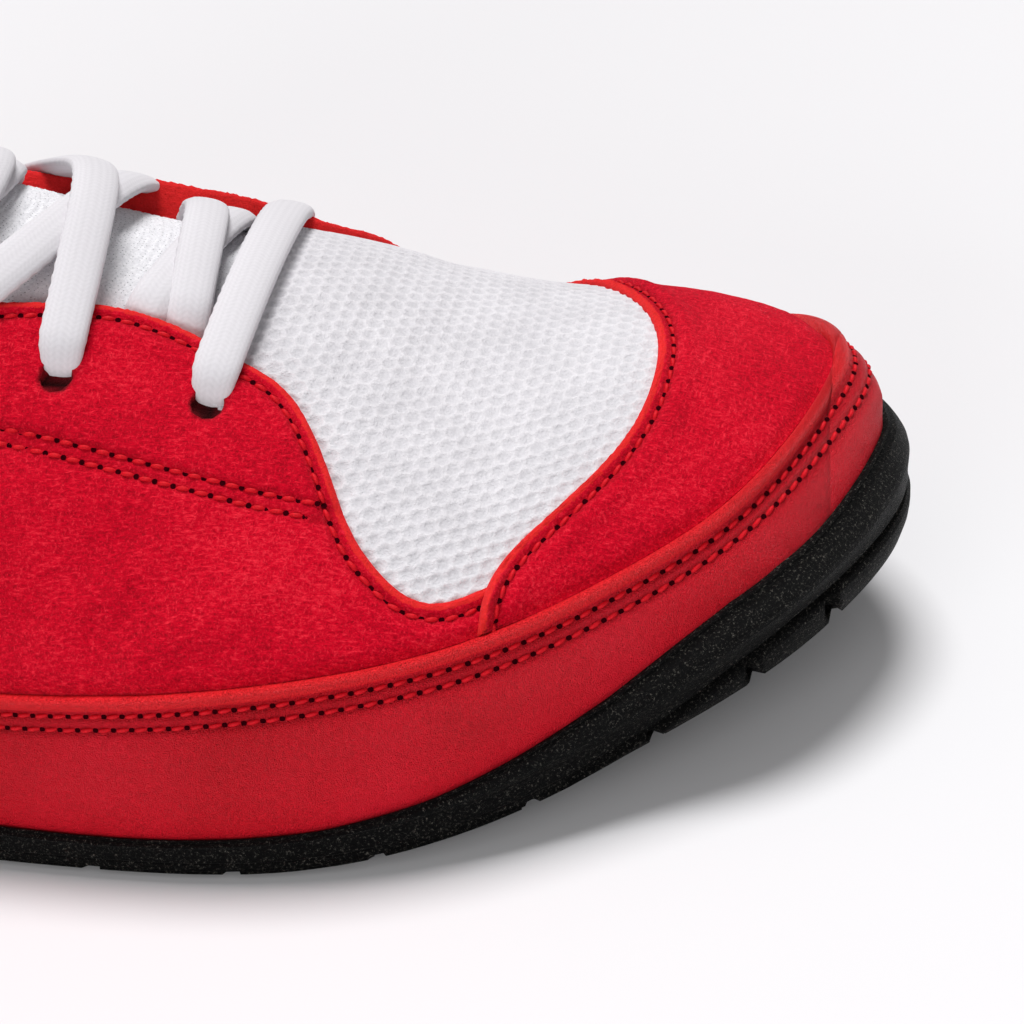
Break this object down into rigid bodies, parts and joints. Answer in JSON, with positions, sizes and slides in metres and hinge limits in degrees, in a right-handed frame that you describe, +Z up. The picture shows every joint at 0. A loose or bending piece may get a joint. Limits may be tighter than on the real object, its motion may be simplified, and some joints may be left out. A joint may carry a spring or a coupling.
{
  "type": "wrestling shoe",
  "caption": "High lace-up wrestling shoe, right foot: thin rubber sole wrapped up at the toe, mesh upper with suede quarters, toe cap and a leather rand.",
  "frame": {"origin": "on the floor under the middle of the heel, on the tread's flat", "axes": "+X to the toe, +Y to the inner (medial) side, +Z up"},
  "size_m": [0.2877, 0.098, 0.1761],
  "materials": {
    "rubber": "black moulded rubber with a fine stipple",
    "foam": "grey cloth-covered foam",
    "mesh": "white spacer mesh with rows of small holes",
    "leather": "red grained leather, satin",
    "suede": "red suede, matt, brushed nap",
    "lace": "white flat tubular lace"
  },
  "bodies": {
    "root": {"outsole": "rubber", "insole": "foam", "upper": "mesh", "rand": "leather", "toe_cap": "suede", "quarter_lateral": "suede", "quarter_medial": "suede", "tongue": "mesh", "lace_bar": "lace", "lace_crossing_1": "lace", "lace_crossing_2": "lace", "lace_crossing_3": "lace", "lace_crossing_4": "lace", "lace_crossing_5": "lace", "lace_crossing_6": "lace", "lace_crossing_7": "lace", "lace_crossing_8": "lace"}
  },
  "joints": []
}
